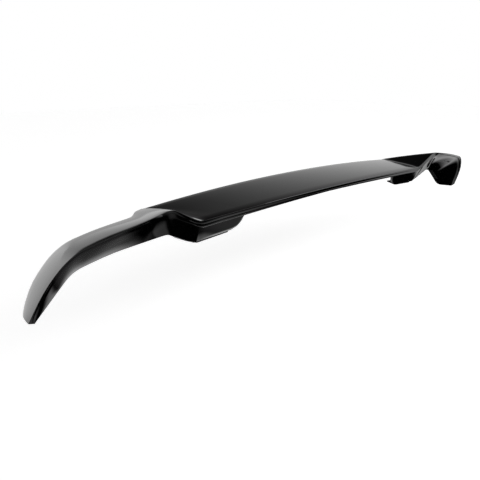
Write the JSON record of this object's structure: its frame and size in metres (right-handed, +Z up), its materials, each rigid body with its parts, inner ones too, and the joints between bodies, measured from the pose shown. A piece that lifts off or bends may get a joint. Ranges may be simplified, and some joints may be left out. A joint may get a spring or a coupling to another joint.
{
  "type": "roof spoiler",
  "caption": "Wide gloss-black rear roof spoiler with a slim bowed blade, raised ramps, drooping side fins and two hollow mounting feet",
  "frame": {"origin": "midway between the outer corners of the blade's rear edge, on that edge", "axes": "+X to the car's right as seen from behind, +Y to the car's front, +Z up"},
  "size_m": [1.2086, 0.1726, 0.1339],
  "materials": {
    "upper_shell": "gloss black paint",
    "lower_shell": "gloss black paint",
    "insert": "machined",
    "foam": "matt foam"
  },
  "bodies": {
    "root": {"upper_shell": "upper_shell", "lower_shell": "lower_shell", "insert_left_outer": "insert", "insert_left_inner": "insert", "insert_right_inner": "insert", "insert_right_outer": "insert", "gasket_left": "foam", "gasket_right": "foam", "tape_fin_left": "foam", "tape_fin_right": "foam"}
  },
  "joints": []
}
